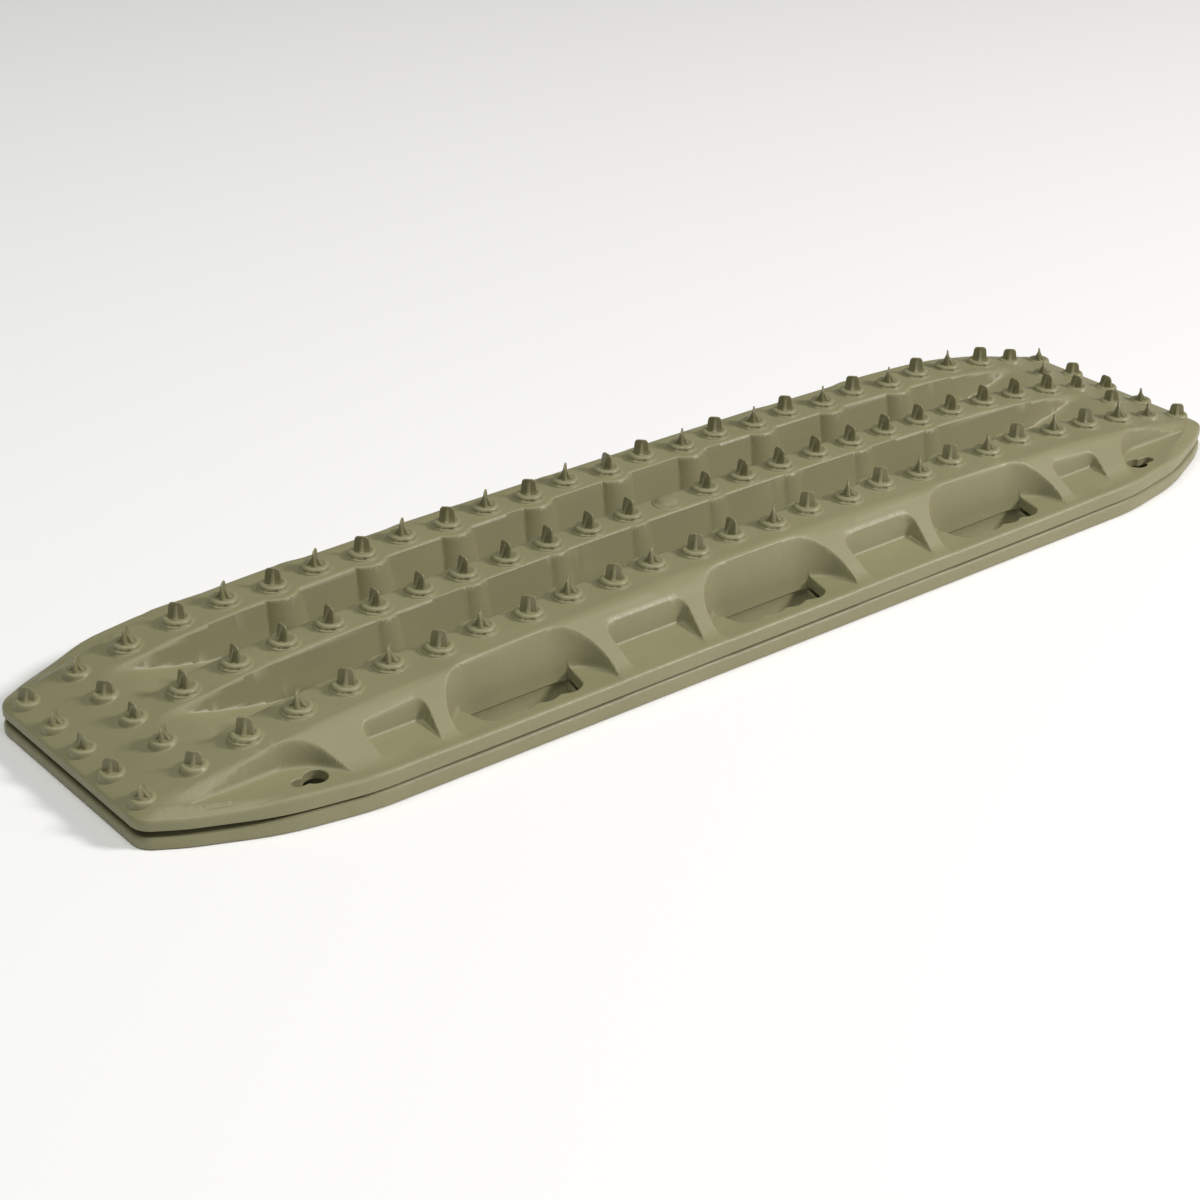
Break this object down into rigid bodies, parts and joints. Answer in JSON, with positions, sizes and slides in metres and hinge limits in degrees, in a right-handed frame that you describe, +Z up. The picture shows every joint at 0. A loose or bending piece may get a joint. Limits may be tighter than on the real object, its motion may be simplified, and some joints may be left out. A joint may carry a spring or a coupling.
{
  "type": "tire traction mats",
  "caption": "Nested pair of rigid ridged traction boards with chisel teeth, side hand holes and keyhole slots; the upper board lifts off.",
  "frame": {"origin": "middle of the lower board's rim, on the plane that it rests on", "axes": "+X along the boards, +Y across them to the left side, +Z up out of the toothed face"},
  "size_m": [1.15, 0.335, 0.083],
  "materials": {
    "board_plastic": "satin moulded olive-khaki plastic with a fine moulded grain",
    "tooth_plastic": "the same olive-khaki plastic, slightly glossier on the tooth faces"
  },
  "bodies": {
    "lower": {"lower_board": "board_plastic", "lower_left_row_teeth": "tooth_plastic", "lower_centre_row_teeth": "tooth_plastic", "lower_right_row_teeth": "tooth_plastic", "lower_front_ramp_teeth": "tooth_plastic", "lower_rear_ramp_teeth": "tooth_plastic"},
    "upper": {"upper_board": "board_plastic", "upper_left_row_teeth": "tooth_plastic", "upper_centre_row_teeth": "tooth_plastic", "upper_right_row_teeth": "tooth_plastic", "upper_front_ramp_teeth": "tooth_plastic", "upper_rear_ramp_teeth": "tooth_plastic"}
  },
  "joints": [
    {"name": "upper_board_lift", "type": "slide", "parent": "lower", "child": "upper", "axis": [0, 0, 1], "range_m": [0, 0.12]}
  ]
}
